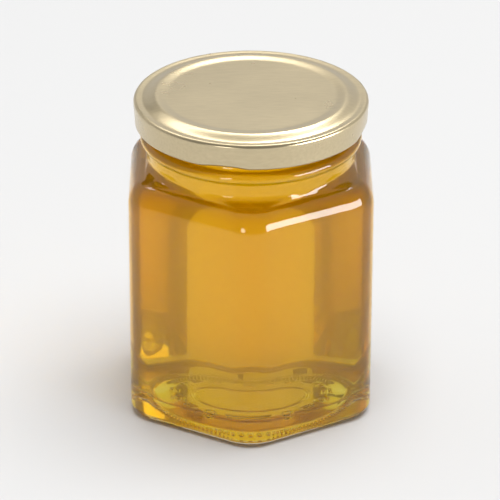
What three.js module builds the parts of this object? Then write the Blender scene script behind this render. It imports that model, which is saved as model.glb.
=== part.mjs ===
// Hexagonal honey jar with a twist-off lid, filled with honey.
// Millimetres, +Z up. The origin is the middle of the base, on the surface the jar
// stands on. One corner of the hexagon points along -Y and two flats face -X and +X.
import * as THREE from "three";

// ---- driving dimensions ------------------------------------------------------
const ACROSS_FLATS = 63;
const CORNER_RADIUS = 9.5; // vertical corners of the body
const HEEL_RADIUS = 2.8; // rounding between the walls and the base
const HEEL_CORNER_RADIUS = 11; // corners of the flat base outline
const WALL = 2.7;
const FLOOR = 4.6; // glass under the honey
const FLOOR_ROUND = 5; // rounding between the floor and the walls, inside

const SHOULDER_START = 60; // top of the flat walls
const SHOULDER_ROUND = 4.8; // rounded edge of the shoulder, inwards
const SHOULDER_RISE = 6.5; // and upwards
const SHOULDER_TURN = 82.6; // how far that edge turns, in degrees
const PLATEAU_SHARE = 0.28; // of the rise from that edge to the neck
const NECK_FOOT = 68.9; // where the shoulder has turned into the neck
const NECK_RADIUS = 26.6;
const BORE_RADIUS = 24.2;
const BEAD_RADIUS = 28.6; // ring around the neck, under the lid
const BEAD_HEIGHT = 73.5;
const BEAD_HALF = 1.8; // half of its height
const RIM_TOP = 83.1;
const HONEY_LEVEL = 78;

const RECESS_RADIUS = 20.7; // hollow under the base
const RECESS_DEPTH = 1.5;

const LID_RADIUS = 30.2; // at the top of the skirt
const LID_HEM_RADIUS = 29.95; // just above the rolled lower edge
const LID_BOTTOM = 77.2;
const LID_SHEET = 0.4;
const LID_SHOULDER = 84.05; // top of the outer bead
const LID_CREST = 85; // highest ring of the lid
const PANEL_TOP = 84.6;
const PANEL_RADIUS = 21.95;
const LUGS = 4;
const LUG_ANGLE = -103.5; // middle of one lug, degrees about +Z
const LUG_HALF_WIDTH = 14; // degrees
const LUG_PRESS = 0.5; // how far a lug is pressed inwards
const LUG_LIFT = 0.35; // and how far it rises

const GAP = 0.3; // between solids that touch
const SIDES = 6;
const STEPS_PER_CORNER = 4;
const STEPS_PER_FLAT = 5;
const ROUND_STEPS = 72;

const SECTOR = (2 * Math.PI) / SIDES;
const APOTHEM = ACROSS_FLATS / 2;
const HALF_SECTOR = SECTOR / 2;

// ---- the rounded hexagon -----------------------------------------------------

/** Distance from the axis to the outline of a hexagon with rounded corners. */
function outlineRadius(angle, apothem, corner) {
  const turned = angle + Math.PI / 2;
  const fromCorner = Math.abs(turned - SECTOR * Math.round(turned / SECTOR));
  const arcCentre = (apothem - corner) / Math.cos(HALF_SECTOR);
  const tangent = Math.atan2(
    corner * Math.sin(HALF_SECTOR),
    arcCentre + corner * Math.cos(HALF_SECTOR),
  );
  if (fromCorner > tangent) return apothem / Math.cos(HALF_SECTOR - fromCorner);
  const across = arcCentre * Math.sin(fromCorner);
  return arcCentre * Math.cos(fromCorner) + Math.sqrt(corner ** 2 - across ** 2);
}

/** Angles of the outline's points, close together around the rounded corners. */
function hexagonAngles() {
  const arcCentre = (APOTHEM - CORNER_RADIUS) / Math.cos(HALF_SECTOR);
  const tangent = Math.atan2(
    CORNER_RADIUS * Math.sin(HALF_SECTOR),
    arcCentre + CORNER_RADIUS * Math.cos(HALF_SECTOR),
  );
  const angles = [];
  for (let side = 0; side < SIDES; side += 1) {
    const corner = -Math.PI / 2 + side * SECTOR;
    for (let i = 0; i < STEPS_PER_CORNER; i += 1) {
      angles.push(corner - tangent + (2 * tangent * i) / STEPS_PER_CORNER);
    }
    for (let i = 0; i < STEPS_PER_FLAT; i += 1) {
      angles.push(corner + tangent + ((SECTOR - 2 * tangent) * i) / STEPS_PER_FLAT);
    }
  }
  return angles;
}

/** Evenly spaced angles for a round piece. */
function roundAngles() {
  return Array.from({ length: ROUND_STEPS }, (_, i) => (2 * Math.PI * i) / ROUND_STEPS);
}

/**
 * Closed surface through a list of rings. The first and last entries are points on
 * the axis, given as a height; the others are functions from an angle to [radius, z].
 */
function ringSolid(firstZ, rings, lastZ, angles) {
  const positions = [0, 0, firstZ];
  for (const ring of rings) {
    for (const angle of angles) {
      const [radius, z] = ring(angle);
      positions.push(radius * Math.cos(angle), radius * Math.sin(angle), z);
    }
  }
  positions.push(0, 0, lastZ);

  const count = angles.length;
  const last = positions.length / 3 - 1;
  const vertex = (ring, i) => 1 + ring * count + (i % count);
  const index = [];
  for (let i = 0; i < count; i += 1) {
    index.push(0, vertex(0, i + 1), vertex(0, i));
    for (let ring = 0; ring < rings.length - 1; ring += 1) {
      const a = vertex(ring, i);
      const b = vertex(ring, i + 1);
      const c = vertex(ring + 1, i + 1);
      const d = vertex(ring + 1, i);
      index.push(a, b, c, a, c, d);
    }
    index.push(last, vertex(rings.length - 1, i), vertex(rings.length - 1, i + 1));
  }
  const geometry = new THREE.BufferGeometry();
  geometry.setAttribute("position", new THREE.Float32BufferAttribute(positions, 3));
  geometry.setIndex(index);
  geometry.computeVertexNormals();
  return geometry;
}

/** A ring with straight or rounded sides: a hexagon, or a circle when corner = apothem. */
function station(apothem, corner, z) {
  return (angle) => [outlineRadius(angle, apothem, corner), z];
}

function circle(radius, z) {
  return station(radius, radius, z);
}

/** Fractions 0..1 in `steps` equal parts, both ends included. */
function fractions(steps) {
  return Array.from({ length: steps + 1 }, (_, i) => i / steps);
}

/** Smooth 0..1 ramp. */
function smooth(t) {
  return t * t * (3 - 2 * t);
}

// ---- the glass ---------------------------------------------------------------

/**
 * The shoulder: over the rounded edge, in `steps` rings, then up into the neck in as
 * many again, while the hexagon becomes a circle. `inset` makes the edge tighter.
 */
function shoulderRings(wallApothem, wallCorner, inset, neckRadius, startZ, endZ, steps) {
  const parts = fractions(steps).slice(1);
  const edgeAt = (turn) => {
    const inward = (SHOULDER_ROUND - inset) * (1 - Math.cos(turn));
    const rise = (SHOULDER_RISE - inset) * Math.sin(turn);
    return [wallApothem - inward, wallCorner - inward * 0.6, startZ + rise];
  };
  const lastTurn = THREE.MathUtils.degToRad(SHOULDER_TURN);
  const [apothem, corner, z] = edgeAt(lastTurn);
  const edge = parts.map((t) => station(...edgeAt(t * lastTurn)));
  const rise = parts.map((t) => {
    const share = Math.sin((t * Math.PI) / 2) ** (2 / 3);
    const fillet = 1 - Math.cos((t * Math.PI) / 2) ** (2 / 3);
    const height = PLATEAU_SHARE * share + (1 - PLATEAU_SHARE) * fillet;
    return station(
      THREE.MathUtils.lerp(apothem, neckRadius, share),
      THREE.MathUtils.lerp(corner, neckRadius, share),
      THREE.MathUtils.lerp(z, endZ, height),
    );
  });
  return [...edge, ...rise];
}

/** Underside of the base, from the axis out to where the heel turns up. */
function baseRings() {
  return [
    circle(RECESS_RADIUS * 0.55, RECESS_DEPTH * 0.8),
    circle(RECESS_RADIUS * 0.9, RECESS_DEPTH * 0.4),
    circle(RECESS_RADIUS, 0),
    station(APOTHEM - HEEL_RADIUS, HEEL_CORNER_RADIUS, 0),
  ];
}

function heelRings() {
  return fractions(4)
    .slice(1)
    .map((t) => {
      const turn = (t * Math.PI) / 2;
      const inset = HEEL_RADIUS * (1 - Math.sin(turn));
      const corner = THREE.MathUtils.lerp(HEEL_CORNER_RADIUS, CORNER_RADIUS, t);
      return station(APOTHEM - inset, corner, HEEL_RADIUS * (1 - Math.cos(turn)));
    });
}

/** Neck with its bead, up to the rounded rim, and over into the bore. */
function finishRings() {
  const bead = fractions(4).map((t) => {
    const turn = t * Math.PI;
    const out = (BEAD_RADIUS - NECK_RADIUS) * Math.sin(turn);
    return circle(NECK_RADIUS + out, BEAD_HEIGHT - BEAD_HALF * Math.cos(turn));
  });
  const rimRadius = (NECK_RADIUS - BORE_RADIUS) / 2;
  const rimMiddle = (NECK_RADIUS + BORE_RADIUS) / 2;
  const rim = fractions(6).map((t) => {
    const turn = t * Math.PI;
    return circle(
      rimMiddle + rimRadius * Math.cos(turn),
      RIM_TOP - rimRadius * (1 - Math.sin(turn)),
    );
  });
  return [...bead, ...rim];
}

/** Inside of the glass from the foot of the bore down to the floor; `gap` shrinks it. */
function cavityRings(gap) {
  const apothem = APOTHEM - WALL - gap;
  const corner = CORNER_RADIUS - WALL * 0.5;
  const neck = BORE_RADIUS - gap;
  const wallTop = SHOULDER_START - WALL * 0.6 - gap;
  const shoulder = shoulderRings(
    apothem,
    corner,
    WALL * 0.5,
    neck,
    wallTop,
    NECK_FOOT - WALL * 0.2 - gap,
    3,
  );
  const floor = fractions(4).map((t) => {
    const turn = (t * Math.PI) / 2;
    return station(
      apothem - FLOOR_ROUND * (1 - Math.cos(turn)),
      corner + (APOTHEM - FLOOR_ROUND - corner) * 0.4 * t,
      FLOOR + gap + FLOOR_ROUND * (1 - Math.sin(turn)),
    );
  });
  return [
    ...shoulder.reverse(),
    station(apothem, corner, wallTop),
    ...floor,
  ];
}

function glassGeometry() {
  const rings = [
    ...baseRings(),
    ...heelRings(),
    station(APOTHEM, CORNER_RADIUS, SHOULDER_START),
    ...shoulderRings(
      APOTHEM,
      CORNER_RADIUS,
      0,
      NECK_RADIUS,
      SHOULDER_START,
      NECK_FOOT,
      5,
    ),
    ...finishRings(),
    ...cavityRings(0),
  ];
  return ringSolid(RECESS_DEPTH, rings, FLOOR, hexagonAngles());
}

// ---- the honey ---------------------------------------------------------------

function honeyGeometry() {
  const rings = [
    ...cavityRings(GAP).reverse(),
    circle(BORE_RADIUS - GAP, HONEY_LEVEL),
  ];
  return ringSolid(FLOOR + GAP, rings, HONEY_LEVEL, hexagonAngles());
}

// ---- the lid -----------------------------------------------------------------

/** How far an angle lies inside the nearest lug: 1 in its middle, 0 outside it. */
function lugShare(angle) {
  const pitch = (2 * Math.PI) / LUGS;
  const turned = angle - THREE.MathUtils.degToRad(LUG_ANGLE);
  const away = Math.abs(turned - pitch * Math.round(turned / pitch));
  const t = 1 - away / THREE.MathUtils.degToRad(LUG_HALF_WIDTH);
  return smooth(THREE.MathUtils.clamp(t * 1.6, 0, 1));
}

/** A ring of the lid's rolled edge, pressed in and lifted where a lug is. */
function hemRing(radius, z, share) {
  return (angle) => {
    const press = lugShare(angle) * share;
    return [radius - LUG_PRESS * press, z + LUG_LIFT * press];
  };
}

function lidGeometry() {
  const round = 0.8; // outer corner of the lid
  const hem = 0.65; // radius of the rolled edge
  const hemMiddle = LID_HEM_RADIUS - hem;
  const topOutside = [
    circle(PANEL_RADIUS, PANEL_TOP),
    circle(PANEL_RADIUS + 1.9, LID_CREST - 0.04),
    circle(PANEL_RADIUS + 2.7, LID_CREST),
    circle(PANEL_RADIUS + 3.5, LID_CREST - 0.15),
    circle(LID_RADIUS - 2.2, LID_SHOULDER - 0.1),
    circle(LID_RADIUS - round, LID_SHOULDER),
    circle(LID_RADIUS - round * 0.3, LID_SHOULDER - round * 0.3),
    circle(LID_RADIUS, LID_SHOULDER - round),
  ];
  const skirtOutside = [
    circle(LID_HEM_RADIUS, LID_BOTTOM + 2.4),
    hemRing(LID_HEM_RADIUS, LID_BOTTOM + hem * 1.6, 0.3),
    hemRing(hemMiddle + hem * 0.7, LID_BOTTOM + hem * 0.3, 0.9),
    hemRing(hemMiddle, LID_BOTTOM, 1),
    hemRing(hemMiddle - hem * 0.7, LID_BOTTOM + hem * 0.3, 1),
    hemRing(hemMiddle - hem, LID_BOTTOM + hem, 1),
    hemRing(hemMiddle - hem * 0.5, LID_BOTTOM + hem * 1.9, 1),
  ];
  const inside = [
    circle(LID_HEM_RADIUS - LID_SHEET, LID_BOTTOM + 2.6),
    circle(LID_RADIUS - LID_SHEET, LID_SHOULDER - round),
    circle(LID_RADIUS - round - LID_SHEET * 0.2, LID_SHOULDER - LID_SHEET),
    circle(LID_RADIUS - 2.2, LID_SHOULDER - 0.1 - LID_SHEET),
    circle(PANEL_RADIUS + 3.4, LID_CREST - 0.15 - LID_SHEET),
    circle(PANEL_RADIUS + 2.7, LID_CREST - LID_SHEET),
    circle(PANEL_RADIUS + 2, LID_CREST - 0.04 - LID_SHEET),
    circle(PANEL_RADIUS, PANEL_TOP - LID_SHEET),
  ];
  const rings = [...topOutside, ...skirtOutside, ...inside].reverse();
  return ringSolid(PANEL_TOP - LID_SHEET, rings, PANEL_TOP, roundAngles());
}

// ---- the jar -----------------------------------------------------------------

function piece(name, geometry, material) {
  const mesh = new THREE.Mesh(geometry, new THREE.MeshStandardMaterial(material));
  mesh.name = name;
  return mesh;
}

const group = new THREE.Group();
group.add(
  piece("jar_glass", glassGeometry(), {
    color: 0xe9efe8,
    roughness: 0.03,
    metalness: 0,
    transparent: true,
    opacity: 0.3,
  }),
  piece("honey", honeyGeometry(), { color: 0xdc9d1f, roughness: 0.08, metalness: 0 }),
  piece("lid", lidGeometry(), { color: 0xc9b47c, roughness: 0.32, metalness: 1 }),
);

export default group;
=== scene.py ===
"""A hexagonal glass honey jar with a gold twist-off lid, dressed for a pale studio."""

import logging
import math
from collections.abc import Sequence
from dataclasses import dataclass, field
from enum import Enum

import bpy
import numpy as np
from mathutils import Matrix, Vector


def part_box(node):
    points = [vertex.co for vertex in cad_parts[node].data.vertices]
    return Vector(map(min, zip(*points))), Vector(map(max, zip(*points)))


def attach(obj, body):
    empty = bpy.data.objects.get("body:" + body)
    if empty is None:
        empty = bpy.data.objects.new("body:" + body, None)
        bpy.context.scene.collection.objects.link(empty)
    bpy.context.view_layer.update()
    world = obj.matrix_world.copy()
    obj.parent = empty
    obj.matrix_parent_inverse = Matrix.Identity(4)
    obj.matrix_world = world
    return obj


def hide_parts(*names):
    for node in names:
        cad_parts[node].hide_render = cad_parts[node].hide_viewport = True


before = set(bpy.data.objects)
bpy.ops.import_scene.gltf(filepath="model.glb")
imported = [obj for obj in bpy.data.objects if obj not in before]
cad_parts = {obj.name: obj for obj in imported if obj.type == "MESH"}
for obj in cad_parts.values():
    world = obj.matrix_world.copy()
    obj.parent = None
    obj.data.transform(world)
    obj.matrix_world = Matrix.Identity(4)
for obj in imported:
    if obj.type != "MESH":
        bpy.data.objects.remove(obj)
LOG = logging.getLogger("honey_jar")
MM = 0.001
Colour = tuple[float, float, float]
HexRing = tuple[float, float, float]
SIDES = 6
SECTOR = 2 * math.pi / SIDES
HALF_SECTOR = SECTOR / 2
FRONT = -math.pi / 2


# ---- node and mesh helpers ---------------------------------------------------


class Nodes:
    """A small builder for one material's node tree."""

    def __init__(self, name: str) -> None:
        """Start an empty material.

        Args:
            name: Name of the material.
        """
        self.material = bpy.data.materials.new(name)
        self.material.use_nodes = True
        self.tree = self.material.node_tree
        self.tree.nodes.clear()
        self.output = self.tree.nodes.new("ShaderNodeOutputMaterial")

    def add(self, kind: str, **inputs: object) -> bpy.types.Node:
        """Add a node and set or link its inputs.

        Args:
            kind: Node type, without the leading "ShaderNode".
            **inputs: Socket names with spaces as underscores; a value or a socket.

        Returns:
            The new node.
        """
        node = self.tree.nodes.new("ShaderNode" + kind)
        for key, value in inputs.items():
            self.put(node, key.replace("_", " "), value)
        return node

    def put(self, node: bpy.types.Node, socket: str | int, value: object) -> None:
        """Set one input of a node, or link a socket into it.

        Args:
            node: The node that receives the value.
            socket: Name or number of its input.
            value: A number, a colour, a vector or an output socket.
        """
        target = node.inputs[socket]
        if isinstance(value, bpy.types.NodeSocket):
            self.tree.links.new(value, target)
        elif target.type == "RGBA" and len(value) == 3:
            target.default_value = (*value, 1.0)
        else:
            target.default_value = value

    def ramp(
        self, factor: bpy.types.NodeSocket, stops: Sequence[tuple[float, Colour]]
    ) -> bpy.types.NodeSocket:
        """Add a colour ramp.

        Args:
            factor: Socket that drives the ramp.
            stops: Positions and colours, in rising order.

        Returns:
            The ramp's colour socket.
        """
        node = self.tree.nodes.new("ShaderNodeValToRGB")
        elements = node.color_ramp.elements
        while len(elements) < len(stops):
            elements.new(0.5)
        for element, (position, colour) in zip(elements, stops):
            element.position = position
            element.color = (*colour, 1.0)
        self.tree.links.new(factor, node.inputs[0])
        return node.outputs[0]

    def finish(
        self, surface: bpy.types.Node, volume: bpy.types.Node | None = None
    ) -> bpy.types.Material:
        """Connect the shaders to the output.

        Args:
            surface: Surface shader node.
            volume: Volume shader node, if the material has one.

        Returns:
            The finished material.
        """
        self.tree.links.new(surface.outputs[0], self.output.inputs["Surface"])
        if volume is not None:
            self.tree.links.new(volume.outputs[0], self.output.inputs["Volume"])
        return self.material


def smooth(t: np.ndarray | float) -> np.ndarray | float:
    """Smooth ramp from 0 to 1, flat outside that range."""
    t = np.clip(t, 0.0, 1.0)
    return t * t * (3 - 2 * t)


def outline_radius(angle: np.ndarray, apothem: float, corner: float) -> np.ndarray:
    """Distance from the axis to a hexagon with rounded corners.

    Args:
        angle: Directions from the axis, in radians.
        apothem: Distance from the axis to a flat side.
        corner: Radius of the rounded corners; equal to the apothem for a circle.

    Returns:
        One distance for each direction.
    """
    turned = angle - FRONT
    off = np.abs(turned - SECTOR * np.round(turned / SECTOR))
    centre = (apothem - corner) / math.cos(HALF_SECTOR)
    tangent = math.atan2(
        corner * math.sin(HALF_SECTOR), centre + corner * math.cos(HALF_SECTOR)
    )
    across = centre * np.sin(off)
    rounded = centre * np.cos(off) + np.sqrt(np.maximum(corner**2 - across**2, 0.0))
    flat = apothem / np.cos(HALF_SECTOR - off)
    return np.where(off > tangent, flat, rounded)


class Loft:
    """Rings of points about the axis, skinned into one closed surface."""

    def __init__(self) -> None:
        """Start with no rings."""
        self.rings: list[np.ndarray] = []
        self.tags: list[int] = []

    def add(self, points: np.ndarray, tag: int = 0) -> None:
        """Add a ring.

        Args:
            points: Points of the ring, shape (n, 3), anticlockwise from above.
            tag: Material number of the band that ends at this ring.
        """
        self.rings.append(points)
        self.tags.append(tag)

    def mesh(self, name: str, first: Vector, last: Vector) -> bpy.types.Mesh:
        """Skin the rings from one point on the axis to the other.

        Args:
            name: Name of the mesh.
            first: Point that closes the first ring.
            last: Point that closes the last ring.

        Returns:
            A closed mesh with smooth faces.
        """
        points = [np.array([first])] + self.rings + [np.array([last])]
        starts = np.cumsum([0] + [len(p) for p in points])
        faces: list[tuple[int, ...]] = []
        tags: list[int] = []
        for band in range(len(points) - 1):
            low, high = points[band], points[band + 1]
            new = self._band(starts[band], len(low), starts[band + 1], len(high))
            faces.extend(new)
            tags.extend([self.tags[min(band, len(self.tags) - 1)]] * len(new))
        mesh = bpy.data.meshes.new(name)
        mesh.from_pydata(np.concatenate(points).tolist(), [], faces)
        mesh.polygons.foreach_set("material_index", tags)
        mesh.polygons.foreach_set("use_smooth", [True] * len(faces))
        mesh.validate()
        mesh.update()
        return mesh

    @staticmethod
    def _band(low: int, low_count: int, high: int, high_count: int) -> list[tuple[int, ...]]:
        """Faces between two rings whose sizes are equal or whole multiples.

        Args:
            low: First index of the earlier ring.
            low_count: Number of points in the earlier ring.
            high: First index of the later ring.
            high_count: Number of points in the later ring.

        Returns:
            The faces, wound so that they face away from the solid.
        """
        faces: list[tuple[int, ...]] = []
        count = max(low_count, high_count)
        low_step, high_step = count // low_count, count // high_count
        for i in range(count):
            a = low + (i // low_step) % low_count
            b = low + ((i + 1) // low_step) % low_count
            c = high + ((i + 1) // high_step) % high_count
            d = high + (i // high_step) % high_count
            corners = [a, b, c, d]
            faces.append(tuple(v for k, v in enumerate(corners) if v != corners[k - 1]))
        return faces


def polar_points(
    angles: np.ndarray, radius: np.ndarray | float, z: np.ndarray | float
) -> np.ndarray:
    """Points at the given angles, radii and heights, in metres.

    Args:
        angles: Angles about the axis.
        radius: Radii in millimetres.
        z: Heights in millimetres.

    Returns:
        Points in metres, shape (n, 3).
    """
    ones = np.ones_like(angles)
    return np.stack([radius * np.cos(angles), radius * np.sin(angles), z * ones], axis=1) * MM


def towards(azimuth: float, elevation: float) -> Vector:
    """Direction from the jar, in degrees round from the front and up from level."""
    turn, rise = math.radians(azimuth), math.radians(elevation)
    return Vector(
        (math.sin(turn) * math.cos(rise), -math.cos(turn) * math.cos(rise), math.sin(rise))
    )


def flat_sheet(
    name: str, size: tuple[float, float], material: bpy.types.Material
) -> bpy.types.Object:
    """Make a flat rectangle about its own origin.

    Args:
        name: Name of the sheet.
        size: Its two sides, in metres.
        material: Its finish.

    Returns:
        The linked object.
    """
    across, up = size[0] / 2, size[1] / 2
    corners = [(-across, -up, 0.0), (across, -up, 0.0), (across, up, 0.0), (-across, up, 0.0)]
    mesh = bpy.data.meshes.new(name)
    mesh.from_pydata(corners, [], [(0, 1, 2, 3)])
    mesh.materials.append(material)
    obj = bpy.data.objects.new(name, mesh)
    bpy.context.scene.collection.objects.link(obj)
    return obj


def arc(count: int) -> np.ndarray:
    """Angles of a quarter turn from just after 0, for `count` steps."""
    return np.arange(1, count + 1) / count * (math.pi / 2)


def piece(
    mesh: bpy.types.Mesh, materials: Sequence[bpy.types.Material], node: str
) -> bpy.types.Object:
    """Make an object that stands for a solid of the frame.

    Args:
        mesh: The piece's mesh, already in place.
        materials: Its materials, in slot order.
        node: The solid that it replaces, which it hides.

    Returns:
        The linked object.
    """
    obj = bpy.data.objects.new(mesh.name, mesh)
    bpy.context.scene.collection.objects.link(obj)
    for material in materials:
        mesh.materials.append(material)
    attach(obj, "root")
    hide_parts(node)
    LOG.info("%s: %d faces", obj.name, len(mesh.polygons))
    return obj


# ---- finishes ----------------------------------------------------------------


class Contact(Enum):
    """What lies beyond a glass surface."""

    AIR = 0
    HONEY = 1


@dataclass(frozen=True)
class ClearGlass:
    """Colourless container glass."""

    ior: float = 1.52
    tint: Colour = (0.985, 0.99, 0.985)
    wave_height: float = 0.00008
    wave_scale: float = 110.0

    def material(self, contact: Contact, beyond: float) -> bpy.types.Material:
        """Glass surface towards air or towards the honey.

        Args:
            contact: What touches the surface.
            beyond: Refractive index of what touches it.

        Returns:
            The material.
        """
        nodes = Nodes("clear_glass_" + contact.name.lower())
        place = nodes.tree.nodes.new("ShaderNodeTexCoord").outputs["Object"]
        ripple = nodes.add("TexNoise", Vector=place, Scale=self.wave_scale, Detail=2.0)
        bump = nodes.add("Bump", Height=ripple.outputs[0], Strength=0.5, Distance=self.wave_height)
        tint = nodes.ramp(ripple.outputs[0], [(0.3, self.tint), (0.7, (1.0, 1.0, 1.0))])
        shader = nodes.add("BsdfPrincipled", Base_Color=tint, Roughness=0.0, Normal=bump.outputs[0])
        nodes.put(shader, "Transmission Weight", 1.0)
        nodes.put(shader, "IOR", self.ior / beyond)
        return nodes.finish(shader)


@dataclass(frozen=True)
class LiquidHoney:
    """Clear golden honey: colour comes from its depth."""

    ior: float = 1.49
    density: float = 150.0
    colour: Colour = (0.998, 0.923, 0.0)
    veil: Colour = (0.99, 0.975, 0.95)

    def material(self, contact: Contact) -> bpy.types.Material:
        """Honey inside the glass, or at its free surface.

        Args:
            contact: AIR for the free surface, HONEY for the part inside the glass.

        Returns:
            The material.
        """
        nodes = Nodes("honey_" + contact.name.lower())
        index = self.ior if contact is Contact.AIR else 1.0
        place = nodes.tree.nodes.new("ShaderNodeTexCoord").outputs["Object"]
        cloud = nodes.add("TexNoise", Vector=place, Scale=60.0, Detail=2.0)
        veil = nodes.ramp(cloud.outputs[0], [(0.3, (1.0, 1.0, 1.0)), (0.7, self.veil)])
        shader = nodes.add("BsdfPrincipled", Base_Color=veil, Roughness=0.0, IOR=index)
        nodes.put(shader, "Transmission Weight", 1.0)
        volume = nodes.add("VolumeAbsorption", Color=self.colour, Density=self.density)
        return nodes.finish(shader, volume)


@dataclass(frozen=True)
class HoneyHaze:
    """Fine pollen and crystals in the honey, which soften what is seen through it."""

    density: float = 30.0
    forward: float = 0.92
    colour: Colour = (1.0, 0.95, 0.4)

    def material(self) -> bpy.types.Material:
        """Light scatter with a surface that can't be seen.

        Returns:
            The material.
        """
        nodes = Nodes("honey_haze")
        surface = nodes.add("BsdfTransparent")
        volume = nodes.add(
            "VolumeScatter", Color=self.colour, Density=self.density, Anisotropy=self.forward
        )
        return nodes.finish(surface, volume)


@dataclass(frozen=True)
class GoldLacquer:
    """Tinplate under a pale gold lacquer, with the sheet's rolling grain."""

    pale: Colour = (0.63, 0.525, 0.33)
    deep: Colour = (0.575, 0.475, 0.297)
    roughness: tuple[float, float] = (0.27, 0.31)
    grain: tuple[float, float, float] = (260.0, 2400.0, 1400.0)

    def material(self) -> bpy.types.Material:
        """The lid's finish.

        Returns:
            The material.
        """
        nodes = Nodes("gold_lacquer")
        place = nodes.tree.nodes.new("ShaderNodeTexCoord").outputs["Object"]
        stretch = nodes.add("Mapping", Vector=place, Scale=self.grain)
        streaks = nodes.add("TexNoise", Vector=stretch.outputs[0], Scale=1.0, Detail=4.0)
        clouds = nodes.add("TexNoise", Vector=place, Scale=90.0, Detail=3.0)
        mixed = nodes.add("MapRange", Value=streaks.outputs[0])
        nodes.put(mixed, "From Min", 0.3)
        nodes.put(mixed, "From Max", 0.7)
        colour = nodes.ramp(mixed.outputs[0], [(0.0, self.deep), (1.0, self.pale)])
        rough = nodes.add("MapRange", Value=clouds.outputs[0])
        nodes.put(rough, "From Min", 0.3)
        nodes.put(rough, "From Max", 0.7)
        nodes.put(rough, "To Min", self.roughness[0])
        nodes.put(rough, "To Max", self.roughness[1])
        bump = nodes.add("Bump", Height=streaks.outputs[0], Strength=0.12, Distance=0.0001)
        shader = nodes.add(
            "BsdfPrincipled",
            Base_Color=colour,
            Roughness=rough.outputs[0],
            Metallic=1.0,
            Normal=bump.outputs[0],
        )
        nodes.put(shader, "Coat Weight", 0.25)
        nodes.put(shader, "Coat Roughness", 0.12)
        return nodes.finish(shader)


@dataclass(frozen=True)
class PaleFloor:
    """Matt white studio paper."""

    colour: Colour = (0.62, 0.62, 0.62)

    def material(self) -> bpy.types.Material:
        """The floor's finish.

        Returns:
            The material.
        """
        nodes = Nodes("studio_paper")
        shader = nodes.add("BsdfPrincipled", Base_Color=self.colour, Roughness=0.9)
        nodes.put(shader, "Specular IOR Level", 0.1)
        return nodes.finish(shader)


@dataclass(frozen=True)
class DarkCard:
    """Matt dark card."""

    colour: Colour = (0.02, 0.02, 0.02)

    def material(self) -> bpy.types.Material:
        """The card's finish."""
        nodes = Nodes("dark_card")
        return nodes.finish(nodes.add("BsdfPrincipled", Base_Color=self.colour, Roughness=0.9))


# ---- the jar -----------------------------------------------------------------


@dataclass
class JarForm:
    """Sizes of the glass, in millimetres: the width and the rim's height come from the solid in the
    frame, the rest are given.
    """

    apothem: float = field(init=False)
    rim_top: float = field(init=False)
    corner: float = 9.5
    heel: float = 2.8
    heel_corner: float = 11.0
    wall: float = 2.7
    floor: float = 4.6
    floor_round: float = 5.0
    shoulder_start: float = 60.0
    shoulder_round: float = 4.8
    shoulder_rise: float = 6.5
    shoulder_turn: float = 82.6
    plateau_share: float = 0.28
    corner_fade: float = 0.6
    inner_start: float = 0.6
    inner_end: float = 0.2
    neck_foot: float = 68.9
    neck: float = 26.6
    bore: float = 24.2
    bead: float = 28.6
    bead_height: float = 73.5
    bead_half: float = 1.8
    recess: float = 20.7
    recess_depth: float = 1.5

    def __post_init__(self) -> None:
        """Read the driving sizes from the frame."""
        low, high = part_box("jar_glass")
        self.apothem = (high[0] - low[0]) / 2 / MM
        self.rim_top = high[2] / MM

    def angles(self, corner_steps: int = 24, flat_steps: int = 20) -> np.ndarray:
        """Directions of the outline's points, close together around the corners.

        Args:
            corner_steps: Steps around each rounded corner.
            flat_steps: Steps along each flat side.

        Returns:
            The directions, in rising order.
        """
        centre = (self.apothem - self.corner) / math.cos(HALF_SECTOR)
        tangent = math.atan2(
            self.corner * math.sin(HALF_SECTOR),
            centre + self.corner * math.cos(HALF_SECTOR),
        ) * 1.15
        corner = np.linspace(-tangent, tangent, corner_steps, endpoint=False)
        flat = np.linspace(tangent, SECTOR - tangent, flat_steps, endpoint=False)
        sector = np.concatenate([corner, flat])
        return np.concatenate([FRONT + k * SECTOR + sector for k in range(SIDES)])

    def shoulder(
        self, inset: float, neck: float, start: float, end: float, steps: int
    ) -> list[HexRing]:
        """Rings of the shoulder: over the rounded edge, then up into the round neck.

        Args:
            inset: How far the wall lies inside the outer face.
            neck: Radius of the neck.
            start: Height where the wall ends.
            end: Height where the neck begins.
            steps: Number of rings of each half: the rounded edge, and the rise to the neck.

        Returns:
            Apothem, corner radius and height of each ring, from the bottom up.
        """
        wall, corner = self.apothem - inset, self.corner - inset * 0.5
        across, up = self.shoulder_round - inset * 0.5, self.shoulder_rise - inset * 0.5
        rings = []
        for turn in np.linspace(0, math.radians(self.shoulder_turn), steps)[1:]:
            inward = across * (1 - math.cos(turn))
            rings.append((wall - inward, corner - inward * self.corner_fade, start + up * math.sin(turn)))
        edge, bend, low = rings[-1]
        for turn in arc(steps):
            share = math.sin(turn) ** (2 / 3)
            fillet = 1 - max(math.cos(turn), 0.0) ** (2 / 3)
            rise = self.plateau_share * share + (1 - self.plateau_share) * fillet
            apothem, radius = edge + (neck - edge) * share, bend + (neck - bend) * share
            rings.append((apothem, radius, low + (end - low) * rise))
        return rings

    def cavity(self, gap: float) -> list[HexRing]:
        """Rings of the inside of the glass, from the foot of the neck to the floor.

        Args:
            gap: How far the rings lie inside the glass surface; negative to go into it.

        Returns:
            Apothem, corner radius and height of each ring, from the top down.
        """
        inset = self.wall + gap
        start = self.shoulder_start - self.wall * self.inner_start - gap
        end = self.neck_foot - self.wall * self.inner_end - gap
        rings = self.shoulder(inset, self.bore - gap, start, end, 16)[::-1]
        apothem = self.apothem - inset
        corner = self.corner - inset * 0.5
        bottom = self.floor + gap
        for z in np.linspace(start, bottom + self.floor_round, 14):
            rings.append((apothem, corner, z))
        for turn in arc(14):
            rings.append(
                (
                    apothem - self.floor_round * (1 - math.cos(turn)),
                    corner + (self.apothem - self.floor_round - corner) * 0.4 * turn / (math.pi / 2),
                    bottom + self.floor_round * (1 - math.sin(turn)),
                )
            )
        return rings


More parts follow.
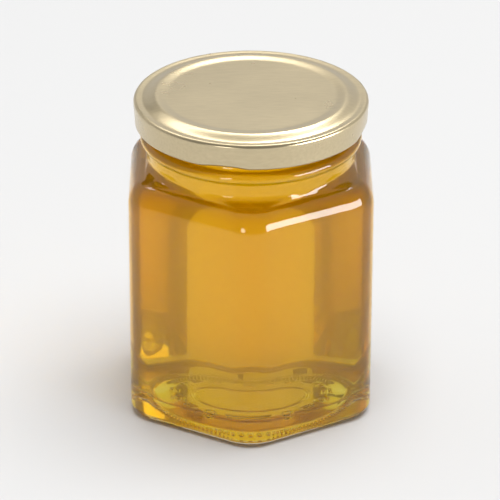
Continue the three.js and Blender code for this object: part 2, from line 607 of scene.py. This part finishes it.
@dataclass
class BaseRelief:
    """Low relief under the base: a knurled bearing ring and plain mould marks."""

    ribs: int = 120
    rib_inner: float = 21.3
    rib_outer: float = 23.1
    rib_depth: float = 0.5
    mark_depth: float = 0.7
    mark_radius: float = 14.5
    mark_count: int = 14

    def ring_depth(self, angles: np.ndarray, radius: float) -> np.ndarray:
        """How far the knurl's grooves rise into the bearing ring.

        Args:
            angles: Directions from the axis.
            radius: Distance from the axis, in millimetres.

        Returns:
            Heights above the bearing plane, in millimetres.
        """
        middle = (self.rib_inner + self.rib_outer) / 2
        half = (self.rib_outer - self.rib_inner) / 2
        across = smooth((half + 0.35 - abs(radius - middle)) / 0.5)
        along = 0.5 + 0.5 * np.cos(angles * self.ribs)
        return self.rib_depth * across * smooth(along * 1.6 - 0.3)

    def marks(self, x: np.ndarray, y: np.ndarray) -> np.ndarray:
        """Height of the plain raised marks inside the recess.

        Args:
            x: First coordinates, in millimetres.
            y: Second coordinates, in millimetres.

        Returns:
            Heights of the marks below the recess's surface, in millimetres.
        """
        shape = np.zeros_like(x)
        for k in range(self.mark_count):
            turn = 2 * math.pi * (k + 0.4) / self.mark_count
            cx, cy = self.mark_radius * math.cos(turn), self.mark_radius * math.sin(turn)
            away = np.hypot(x - cx, y - cy)
            if k % 2:
                shape = np.maximum(shape, smooth((0.45 - np.abs(away - 1.5)) / 0.35))
            else:
                along = (x - cx) * -math.sin(turn) + (y - cy) * math.cos(turn)
                across = (x - cx) * math.cos(turn) + (y - cy) * math.sin(turn)
                bar = np.maximum(np.abs(along) - 1.7, np.abs(np.abs(across) - 0.8) - 0.1)
                shape = np.maximum(shape, smooth((0.35 - bar) / 0.35))
        away = np.hypot(x, y)
        shape = np.maximum(shape, smooth((0.5 - np.abs(away - 9.0)) / 0.4) * 0.6)
        return self.mark_depth * shape


@dataclass
class GlassJar:
    """The glass: outside, rim and cavity as one closed surface."""

    form: JarForm
    relief: BaseRelief = field(default_factory=BaseRelief)
    glass: ClearGlass = field(default_factory=ClearGlass)
    fine: int = 4

    def build(self, honey_ior: float, honey_level: float) -> bpy.types.Object:
        """Make and dress the glass.

        Args:
            honey_ior: Refractive index of the honey against the inner wall.
            honey_level: Height of the honey, in millimetres.

        Returns:
            The glass piece.
        """
        form = self.form
        angles = form.angles()
        loft = Loft()
        self._base(loft, angles)
        self._outside(loft, angles)
        self._finish(loft, angles)
        wet = False
        neck_steps = np.linspace(form.rim_top - (form.neck - form.bore) / 2, honey_level, 6)
        for z in neck_steps[1:]:
            loft.add(polar_points(angles, form.bore, z), Contact.AIR.value)
        for z in np.linspace(honey_level, form.neck_foot, 6)[1:-1]:
            loft.add(polar_points(angles, form.bore, z), Contact.HONEY.value)
        for ring in form.cavity(0.0):
            loft.add(self._ring(angles, ring), Contact.HONEY.value)
        for share in (0.8, 0.55, 0.3, 0.12):
            apothem, corner, z = form.cavity(0.0)[-1]
            loft.add(self._ring(angles, (apothem * share, corner * share, z)), Contact.HONEY.value)
        below, above = Vector((0, 0, form.recess_depth * MM)), Vector((0, 0, form.floor * MM))
        mesh = loft.mesh("jar_glass_body", below, above)
        materials = [
            self.glass.material(Contact.AIR, 1.0),
            self.glass.material(Contact.HONEY, honey_ior),
        ]
        return piece(mesh, materials, "jar_glass")

    @staticmethod
    def _ring(angles: np.ndarray, ring: HexRing) -> np.ndarray:
        """Points of a rounded-hexagon ring."""
        apothem, corner, z = ring
        return polar_points(angles, outline_radius(angles, apothem, corner), z)

    def _dome(self, radius: np.ndarray | float) -> np.ndarray | float:
        """Height of the hollow under the base at a radius."""
        t = np.clip(radius / self.form.recess, 0, 1)
        return self.form.recess_depth * smooth((1 - t) * 3.2)

    def _base(self, loft: Loft, angles: np.ndarray) -> None:
        """Add the underside, with finer rings where its relief is.

        Args:
            loft: The surface that grows.
            angles: Directions of the body's outline.
        """
        form, relief = self.form, self.relief
        turns = np.append(angles, angles[0] + 2 * math.pi)
        fine = np.interp(np.arange(len(angles) * self.fine) / self.fine, np.arange(len(turns)), turns)
        for radius in (2.0, 4.0, 6.0, 7.0):
            loft.add(polar_points(angles, radius, self._dome(radius)))
        for radius in np.arange(7.4, form.recess + 0.1, 0.32):
            x, y = radius * np.cos(fine), radius * np.sin(fine)
            z = self._dome(radius) - relief.marks(x, y)
            loft.add(polar_points(fine, radius, np.maximum(z, 0.0)))
        for radius in np.arange(form.recess + 0.2, relief.rib_outer + 0.5, 0.2):
            loft.add(polar_points(fine, radius, relief.ring_depth(fine, radius)))
        edge = outline_radius(angles, form.apothem - form.heel, form.heel_corner)
        start = relief.rib_outer + 0.6
        for share in (0.0, 0.5, 1.0):
            loft.add(polar_points(angles, start + (edge - start) * share, 0.0))

    def _outside(self, loft: Loft, angles: np.ndarray) -> None:
        """Add the heel, the walls and the shoulder.

        Args:
            loft: The surface that grows.
            angles: Directions of the body's outline.
        """
        form = self.form
        for turn in arc(14):
            share = turn / (math.pi / 2)
            inset = form.heel * (1 - math.sin(turn))
            corner = form.heel_corner + (form.corner - form.heel_corner) * share
            height = form.heel * (1 - math.cos(turn))
            loft.add(self._ring(angles, (form.apothem - inset, corner, height)))
        for z in np.linspace(form.heel, form.shoulder_start, 16)[1:]:
            loft.add(self._ring(angles, (form.apothem, form.corner, z)))
        for ring in form.shoulder(0.0, form.neck, form.shoulder_start, form.neck_foot, 32):
            loft.add(self._ring(angles, ring))

    def _finish(self, loft: Loft, angles: np.ndarray) -> None:
        """Add the neck, its bead and the rounded rim.

        Args:
            loft: The surface that grows.
            angles: Directions of the body's outline.
        """
        form = self.form
        bead_start = form.bead_height - form.bead_half
        for z in np.linspace(form.neck_foot, bead_start, 6)[1:-1]:
            loft.add(polar_points(angles, form.neck, z))
        for turn in np.linspace(0, math.pi, 19):
            out = (form.bead - form.neck) * math.sin(turn)
            z = form.bead_height - form.bead_half * math.cos(turn)
            loft.add(polar_points(angles, form.neck + out, z))
        radius = (form.neck - form.bore) / 2
        middle = (form.neck + form.bore) / 2
        start = form.bead_height + form.bead_half
        for z in np.linspace(start, form.rim_top - radius, 6)[1:-1]:
            loft.add(polar_points(angles, form.neck, z))
        for turn in np.linspace(0, math.pi, 19):
            loft.add(
                polar_points(
                    angles,
                    middle + radius * math.cos(turn),
                    form.rim_top - radius * (1 - math.sin(turn)),
                )
            )


@dataclass
class HoneyFill:
    """The honey: fills the cavity and reaches just into the wall."""

    form: JarForm
    honey: LiquidHoney = field(default_factory=LiquidHoney)
    haze: HoneyHaze = field(default_factory=HoneyHaze)
    overlap: float = 0.06
    haze_inset: float = 0.3
    meniscus: float = 1.0
    level: float = field(init=False)

    def __post_init__(self) -> None:
        """Read the honey's level from the frame."""
        self.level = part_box("honey")[1][2] / MM

    def build(self) -> None:
        """Make and dress the honey, and the haze just inside it."""
        materials = [self.honey.material(Contact.AIR), self.honey.material(Contact.HONEY)]
        piece(self._body("honey_fill", -self.overlap), materials, "honey")
        haze = self.haze.material()
        piece(self._body("honey_haze", self.haze_inset), [haze, haze], "honey")

    def _body(self, name: str, gap: float) -> bpy.types.Mesh:
        """Closed body of honey.

        Args:
            name: Name of the mesh.
            gap: How far it stays inside the glass surface; negative to go into it.

        Returns:
            The mesh.
        """
        form = self.form
        angles = form.angles()
        rings = form.cavity(gap)[::-1]
        level = self.level - max(gap, 0.0)
        apothem, corner, z = rings[0]
        loft = Loft()
        for share in (0.12, 0.3, 0.55, 0.8):
            radius = outline_radius(angles, apothem * share, corner * share)
            loft.add(polar_points(angles, radius, z), Contact.HONEY.value)
        for ring in rings:
            radius = outline_radius(angles, ring[0], ring[1])
            loft.add(polar_points(angles, radius, ring[2]), Contact.HONEY.value)
        bore = form.bore - gap
        for height in np.linspace(form.neck_foot, level, 7)[1:]:
            loft.add(polar_points(angles, bore, height), Contact.HONEY.value)
        for away in (0.15, 0.35, 0.6, 0.9, 1.3, 1.8, 2.5, 3.5, 6.0, 12.0, 18.0):
            drop = self.meniscus * (1 - math.exp(-away / 0.9))
            loft.add(polar_points(angles, bore - away, level - drop), Contact.AIR.value)
        return loft.mesh(name, Vector((0, 0, z * MM)), Vector((0, 0, (level - self.meniscus) * MM)))


@dataclass
class TwistLid:
    """The lid: rolled hem, pressed lugs, outer bead, raised ring and flat panel."""

    finish: GoldLacquer = field(default_factory=GoldLacquer)
    sheet: float = 0.25
    corner: float = 0.8
    hem: float = 0.65
    hem_inset: float = 0.25
    panel: float = 21.95
    crest: float = 24.6
    valley: float = 28.0
    panel_drop: float = 0.4
    shoulder_drop: float = 0.95
    lugs: int = 4
    lug_angle: float = -103.5
    lug_half_width: float = 14.0
    lug_press: float = 0.5
    lug_lift: float = 0.35
    steps: int = 288
    radius: float = field(init=False)
    bottom: float = field(init=False)
    top: float = field(init=False)

    def __post_init__(self) -> None:
        """Read the lid's size from the frame."""
        low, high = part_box("lid")
        self.radius = (high[0] - low[0]) / 2 / MM
        self.bottom, self.top = low[2] / MM, high[2] / MM

    def _lug_share(self, angles: np.ndarray) -> np.ndarray:
        """Share of the press at each angle: 1 in the middle of a lug, 0 between lugs."""
        pitch = 2 * math.pi / self.lugs
        turned = angles - math.radians(self.lug_angle)
        away = np.abs(turned - pitch * np.round(turned / pitch))
        return smooth((1 - away / math.radians(self.lug_half_width)) * 1.2)

    def _top_profile(self) -> list[tuple[float, float]]:
        """Radius and height of the top's outer surface, from the axis out.

        Returns:
            Points of the profile, in millimetres.
        """
        crest_z, panel_z = self.top, self.top - self.panel_drop
        shoulder_z = self.top - self.shoulder_drop
        points = [(r, panel_z) for r in np.linspace(2.0, self.panel - 0.8, 10)]
        for t in np.linspace(0, 1, 13):
            radius = self.panel - 0.4 + (self.crest - self.panel + 0.4) * t
            points.append((radius, panel_z + (crest_z - panel_z) * smooth(t)))
        for t in np.linspace(0, 1, 17)[1:]:
            radius = self.crest + (self.valley - self.crest) * t
            fall = 0.55 * smooth(t) + 0.45 * t
            points.append((radius, crest_z + (shoulder_z - 0.12 - crest_z) * fall))
        edge = self.radius - self.corner
        for t in np.linspace(0, 1, 7)[1:]:
            points.append((self.valley + (edge - self.valley) * t, shoulder_z - 0.12 * (1 - smooth(t))))
        for turn in arc(10):
            points.append(
                (edge + self.corner * math.sin(turn), shoulder_z - self.corner * (1 - math.cos(turn)))
            )
        return points

    def build(self) -> bpy.types.Object:
        """Make and dress the lid.

        Returns:
            The lid piece.
        """
        angles = np.linspace(-math.pi, math.pi, self.steps, endpoint=False)
        share = self._lug_share(angles)
        hem_radius = self.radius - self.hem_inset
        middle = hem_radius - self.hem
        top = self._top_profile()
        skirt_top = top[-1][1]
        rings: list[tuple[float, float, float]] = [(r, z, 0.0) for r, z in top]
        for t in np.linspace(0, 1, 10)[1:]:
            z = skirt_top + (self.bottom + self.hem * 1.2 - skirt_top) * t
            rings.append((self.radius - self.hem_inset * smooth(t), z, 0.45 * smooth((t - 0.7) / 0.3)))
        for turn in np.linspace(0, math.pi * 1.35, 22)[1:]:
            rings.append(
                (
                    middle + self.hem * math.cos(turn),
                    self.bottom + self.hem - self.hem * math.sin(turn),
                    min(1.0, 0.45 + turn),
                )
            )
        rings.append((hem_radius - self.sheet, self.bottom + 2.4, 0.0))
        rings.append((self.radius - self.sheet, skirt_top, 0.0))
        inner = [
            (r - self.sheet * max(0.0, (r - self.valley) / 2), z - self.sheet)
            for r, z in top[:-1]
        ]
        rings.extend((r, z, 0.0) for r, z in inner[::-1])
        loft = Loft()
        for radius, z, pressed in rings[::-1]:
            loft.add(
                polar_points(
                    angles,
                    radius - self.lug_press * share * pressed,
                    z + self.lug_lift * share * pressed,
                )
            )
        panel_z = top[0][1]
        mesh = loft.mesh(
            "lid_shell",
            Vector((0, 0, (panel_z - self.sheet) * MM)),
            Vector((0, 0, panel_z * MM)),
        )
        return piece(mesh, [self.finish.material()], "lid")


# ---- the studio --------------------------------------------------------------


class Reach(Enum):
    """What a lamp lights: reflections, what is seen through glass, or matt surfaces."""

    REFLECTIONS = (False, True, False)
    THROUGH = (False, False, True)
    MATT = (True, False, False)


@dataclass(frozen=True)
class SoftBox:
    """A rectangular lamp that faces the jar."""

    name: str
    azimuth: float
    elevation: float
    distance: float
    width: float
    height: float
    power: float
    reach: Reach

    def place(self, target: Vector) -> bpy.types.Object:
        """Add the lamp.

        Args:
            target: Point that the lamp faces.

        Returns:
            The lamp.
        """
        lamp = bpy.data.lights.new(self.name, "AREA")
        lamp.shape = "RECTANGLE"
        lamp.size, lamp.size_y = self.width, self.height
        lamp.energy = self.power
        obj = bpy.data.objects.new(self.name, lamp)
        bpy.context.scene.collection.objects.link(obj)
        obj.visible_diffuse, obj.visible_glossy, obj.visible_transmission = self.reach.value
        obj.visible_volume_scatter = self.reach is Reach.THROUGH
        direction = towards(self.azimuth, self.elevation)
        obj.location = target + direction * self.distance
        obj.rotation_euler = direction.to_track_quat("Z", "Y").to_euler()
        return obj


@dataclass
class Studio:
    """Pale floor, soft lamps, even surroundings and the camera."""

    target: Vector = field(default_factory=lambda: Vector((0.0, 0.0, 0.040)))
    camera_distance: float = 0.945
    camera_pitch: float = 26.73
    camera_turn: float = -0.3
    camera_roll: float = 0.15
    camera_lens: float = 259.6
    aside: float = -0.00018
    floor_side: float = 8.0
    floor_gap: float = 0.00003
    flag_azimuth: float = 201.0
    flag_elevation: float = 33.0
    flag_distance: float = 0.9
    flag_size: tuple[float, float] = (0.3, 0.14)
    ambient_turn: tuple[float, float] = (-0.75, 0.45)
    ambient_front: float = 0.22
    ambient_back: float = 0.67

    def build(self) -> None:
        """Make the floor, the lamps, the surroundings and the camera."""
        self._floor()
        self._flag()
        self._surroundings()
        for box in (
            SoftBox("key_right", 65, 13, 1.4, 1.02, 0.54, 22.0, Reach.REFLECTIONS),
            SoftBox("key_glow", 65, 13, 1.3, 0.95, 0.5, 3.6, Reach.THROUGH),
            SoftBox("back_left", 197, 51, 1.5, 0.95, 0.3, 3.4, Reach.REFLECTIONS),
            SoftBox("back_right", 164, 51, 1.5, 0.4, 0.32, 3.8, Reach.REFLECTIONS),
            SoftBox("front_left", -25, 12, 1.4, 0.25, 0.4, 2.4, Reach.REFLECTIONS),
            SoftBox("fill", 85, 82, 2.5, 2.0, 2.0, 77.0, Reach.MATT),
        ):
            box.place(self.target)
        self._camera()

    def _flag(self) -> None:
        """Hang a small dark card behind the jar, which gives the lid's rings their dark arcs."""
        direction = towards(self.flag_azimuth, self.flag_elevation)
        flag = flat_sheet("flag", self.flag_size, DarkCard().material())
        flag.location = self.target + direction * self.flag_distance
        flag.rotation_euler = direction.to_track_quat("Z", "Y").to_euler()

    def _floor(self) -> None:
        """Make the floor."""
        floor = flat_sheet("floor", (self.floor_side, self.floor_side), PaleFloor().material())
        floor.location.z = -self.floor_gap

    def _surroundings(self) -> None:
        """Give the world a pale light, weaker on the camera's side."""
        world = bpy.data.worlds.new("studio")
        world.use_nodes = True
        tree = world.node_tree
        tree.nodes["Background"].inputs["Color"].default_value = (1.0, 1.0, 1.0, 1.0)
        place = tree.nodes.new("ShaderNodeTexCoord")
        parts = tree.nodes.new("ShaderNodeSeparateXYZ")
        shade = tree.nodes.new("ShaderNodeMapRange")
        shade.interpolation_type = "SMOOTHSTEP"
        values = (*self.ambient_turn, self.ambient_front, self.ambient_back)
        for name, value in zip(("From Min", "From Max", "To Min", "To Max"), values):
            shade.inputs[name].default_value = value
        tree.links.new(place.outputs["Generated"], parts.inputs[0])
        tree.links.new(parts.outputs["Y"], shade.inputs["Value"])
        tree.links.new(shade.outputs[0], tree.nodes["Background"].inputs["Strength"])
        scene = bpy.context.scene
        scene.world = world
        scene.view_settings.view_transform = "Standard"
        scene.cycles.max_bounces = 24
        scene.cycles.transmission_bounces = 24
        scene.cycles.volume_bounces = 8

    def _camera(self) -> None:
        """Place the camera."""
        data = bpy.data.cameras.new("camera")
        data.lens = self.camera_lens
        data.sensor_width = 36
        camera = bpy.data.objects.new("camera", data)
        bpy.context.scene.collection.objects.link(camera)
        turn = math.radians(self.camera_turn)
        direction = towards(self.camera_turn, self.camera_pitch)
        right = Vector((math.cos(turn), math.sin(turn), 0.0))
        camera.location = self.target + direction * self.camera_distance + right * self.aside
        aim = direction.to_track_quat("Z", "Y").to_matrix().to_4x4()
        roll = Matrix.Rotation(math.radians(self.camera_roll), 4, "Z")
        camera.rotation_euler = (aim @ roll).to_euler()
        bpy.context.scene.camera = camera


def main() -> None:
    """Build the jar and its studio."""
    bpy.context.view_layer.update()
    form = JarForm()
    honey = HoneyFill(form)
    GlassJar(form).build(honey.honey.ior, honey.level)
    honey.build()
    TwistLid().build()
    Studio().build()


if __name__ == "__main__":
    logging.basicConfig(level=logging.INFO, format="%(message)s")
    main()
